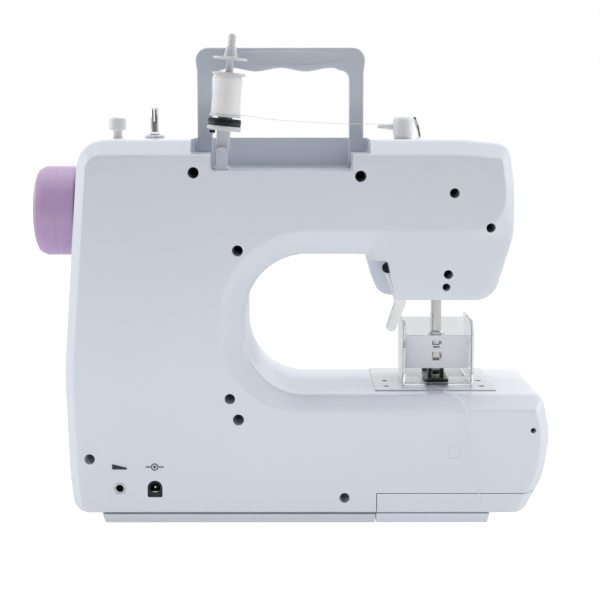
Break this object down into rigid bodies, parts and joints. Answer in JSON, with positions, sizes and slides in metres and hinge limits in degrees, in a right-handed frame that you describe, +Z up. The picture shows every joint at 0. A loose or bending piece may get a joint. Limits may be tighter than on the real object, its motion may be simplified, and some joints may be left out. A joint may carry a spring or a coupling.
{
  "type": "sewing machine",
  "caption": "Small electric sewing machine: free-arm casing, handwheel, needle and presser mechanism, spool pin, sliding carry handle and accessory drawer.",
  "frame": {"origin": "underside of the middle rubber pad, on the table", "axes": "+X along the bed towards the handwheel, +Y towards the rear of the machine, +Z up"},
  "size_m": [0.2875, 0.1118, 0.2694],
  "materials": {
    "white_plastic": "glossy",
    "lilac_plastic": "glossy",
    "blue_grey_plastic": "satin",
    "clear_plastic": "clear",
    "dark_plastic": "matte",
    "ink": "matte",
    "rubber": "matte",
    "chrome": "polished",
    "black_chrome": "satin",
    "steel": "satin",
    "cast_alloy": "matte",
    "bronze": "satin",
    "nylon": "matte",
    "board": "matte",
    "lamp_body": "glossy",
    "thread": "soft"
  },
  "bodies": {
    "machine": {"rear_casing": "white_plastic", "front_casing": "white_plastic", "base_tray": "white_plastic", "rubber_feet": "rubber", "casing_screws": "black_chrome", "machine_frame": "cast_alloy", "shaft_bushes": "bronze", "bed_frame": "cast_alloy", "lower_bushes": "bronze", "needle_plate": "steel", "timing_belt": "rubber", "drive_belt": "rubber", "motor": "steel", "lifter_pin": "black_chrome", "lamp": "lamp_body", "circuit_board": "board", "dc_jack": "dark_plastic", "pedal_jack": "chrome", "port_marks": "ink", "pin_bracket": "white_plastic", "winder_base": "white_plastic", "winder_stop": "white_plastic", "thread_guide": "white_plastic", "thread_tail": "thread"},
    "drive": {"handwheel": "lilac_plastic", "main_shaft": "steel", "belt_pulley": "dark_plastic", "upper_gear": "nylon", "crank": "steel"},
    "rod": {"connecting_rod": "steel"},
    "rotor": {"motor_pulley": "dark_plastic"},
    "lower_drive": {"lower_shaft": "steel", "lower_gear": "nylon"},
    "hook": {"hook": "chrome"},
    "bobbin": {"bobbin": "nylon"},
    "needle_unit": {"needle_bar": "chrome", "needle_clamp": "chrome", "needle": "chrome"},
    "take_up": {"take_up_lever": "chrome"},
    "presser": {"presser_bar": "chrome", "foot_holder": "chrome", "guard_bracket": "blue_grey_plastic", "finger_guard": "clear_plastic"},
    "foot": {"presser_foot": "black_chrome"},
    "lifter": {"presser_lifter": "white_plastic"},
    "feed": {"feed_dog": "steel"},
    "stitch_dial": {"stitch_dial": "lilac_plastic"},
    "tension_dial": {"tension_dial": "lilac_plastic"},
    "reverse": {"reverse_lever": "lilac_plastic"},
    "speed": {"speed_switch": "dark_plastic"},
    "light": {"light_switch": "dark_plastic"},
    "drawer": {"accessory_drawer": "white_plastic"},
    "cover": {"bobbin_cover": "clear_plastic"},
    "handle": {"carry_handle": "blue_grey_plastic"},
    "pin": {"spool_holder": "white_plastic", "spool_ring": "dark_plastic"},
    "spool": {"thread_spool": "white_plastic", "wound_thread": "thread"},
    "cap": {"spool_cap": "white_plastic"},
    "winder": {"winder_spindle": "chrome"}
  },
  "joints": [
    {"name": "handwheel_turn", "type": "hinge", "parent": "machine", "child": "drive", "pos_m": [0.14, -0.006, 0.171], "axis": [1, 0, 0], "continuous": true},
    {"name": "rod_pivot", "type": "hinge", "parent": "drive", "child": "rod", "pos_m": [-0.0637, -0.006, 0.158], "axis": [1, 0, 0], "continuous": true},
    {"name": "motor_turn", "type": "hinge", "parent": "machine", "child": "rotor", "pos_m": [0.117, 0.024, 0.105], "axis": [1, 0, 0], "continuous": true},
    {"name": "lower_turn", "type": "hinge", "parent": "machine", "child": "lower_drive", "pos_m": [0, -0.006, 0.032], "axis": [1, 0, 0], "continuous": true},
    {"name": "hook_turn", "type": "hinge", "parent": "machine", "child": "hook", "pos_m": [-0.0738, -0.021, 0.05], "axis": [0, 0, 1], "continuous": true},
    {"name": "bobbin_turn", "type": "hinge", "parent": "machine", "child": "bobbin", "pos_m": [-0.0738, -0.021, 0.058], "axis": [0, 0, 1], "continuous": true},
    {"name": "needle_stroke", "type": "slide", "parent": "machine", "child": "needle_unit", "axis": [0, 0, 1], "range_m": [0, 0.026]},
    {"name": "take_up_swing", "type": "hinge", "parent": "machine", "child": "take_up", "pos_m": [-0.0658, -0.026, 0.184], "axis": [1, 0, 0], "range_deg": [0, 32]},
    {"name": "lifter_swing", "type": "hinge", "parent": "machine", "child": "lifter", "pos_m": [-0.044, 0.024, 0.1418], "axis": [0, -1, 0], "range_deg": [0, 75]},
    {"name": "presser_lift", "type": "slide", "parent": "machine", "child": "presser", "axis": [0, 0, 1], "range_m": [0, 0.006]},
    {"name": "foot_tilt", "type": "hinge", "parent": "presser", "child": "foot", "pos_m": [-0.0738, 0.004, 0.08], "axis": [1, 0, 0], "range_deg": [-2.5, 2.5]},
    {"name": "feed_stroke", "type": "slide", "parent": "machine", "child": "feed", "axis": [0, 1, 0], "range_m": [-0.0015, 0.0015]},
    {"name": "stitch_select", "type": "hinge", "parent": "machine", "child": "stitch_dial", "pos_m": [0.084, -0.05, 0.098], "axis": [0, -1, 0], "range_deg": [0, 330]},
    {"name": "tension_select", "type": "hinge", "parent": "machine", "child": "tension_dial", "pos_m": [-0.09, -0.052, 0.178], "axis": [0, -1, 0], "range_deg": [-150, 150]},
    {"name": "reverse_press", "type": "hinge", "parent": "machine", "child": "reverse", "pos_m": [0.084, -0.045, 0.05], "axis": [1, 0, 0], "range_deg": [0, 15], "stiffness_Nm_per_rad": 0.02},
    {"name": "speed_slide", "type": "slide", "parent": "machine", "child": "speed", "axis": [1, 0, 0], "range_m": [0, 0.004]},
    {"name": "light_slide", "type": "slide", "parent": "machine", "child": "light", "axis": [1, 0, 0], "range_m": [0, 0.004]},
    {"name": "drawer_slide", "type": "slide", "parent": "machine", "child": "drawer", "axis": [-1, 0, 0], "range_m": [0, 0.086]},
    {"name": "cover_slide", "type": "slide", "parent": "machine", "child": "cover", "axis": [0, -1, 0], "range_m": [0, 0.03]},
    {"name": "handle_lift", "type": "slide", "parent": "machine", "child": "handle", "axis": [0, 0, -1], "range_m": [0, 0.044]},
    {"name": "pin_fold", "type": "hinge", "parent": "machine", "child": "pin", "pos_m": [0.0472, 0.024, 0.205], "axis": [0, -1, 0], "range_deg": [0, 80]},
    {"name": "spool_spin", "type": "hinge", "parent": "pin", "child": "spool", "pos_m": [0.0472, 0.024, 0.205], "axis": [-0.0976, 0, 0.9952], "continuous": true},
    {"name": "cap_slide", "type": "slide", "parent": "pin", "child": "cap", "axis": [-0.0976, 0, 0.9952], "range_m": [-0.006, 0.01]},
    {"name": "winder_spin", "type": "hinge", "parent": "machine", "child": "winder", "pos_m": [0.0858, 0.005, 0.22], "axis": [0, 0, 1], "continuous": true}
  ],
  "couplings": [
    {"joint": "rod_pivot", "follows": "handwheel_turn", "ratio": -1},
    {"joint": "motor_turn", "follows": "handwheel_turn", "ratio": 3.8},
    {"joint": "lower_turn", "follows": "handwheel_turn", "ratio": 1},
    {"joint": "hook_turn", "follows": "handwheel_turn", "ratio": 1},
    {"joint": "lifter_swing", "follows": "presser_lift", "rad_per_m": 218.1}
  ]
}
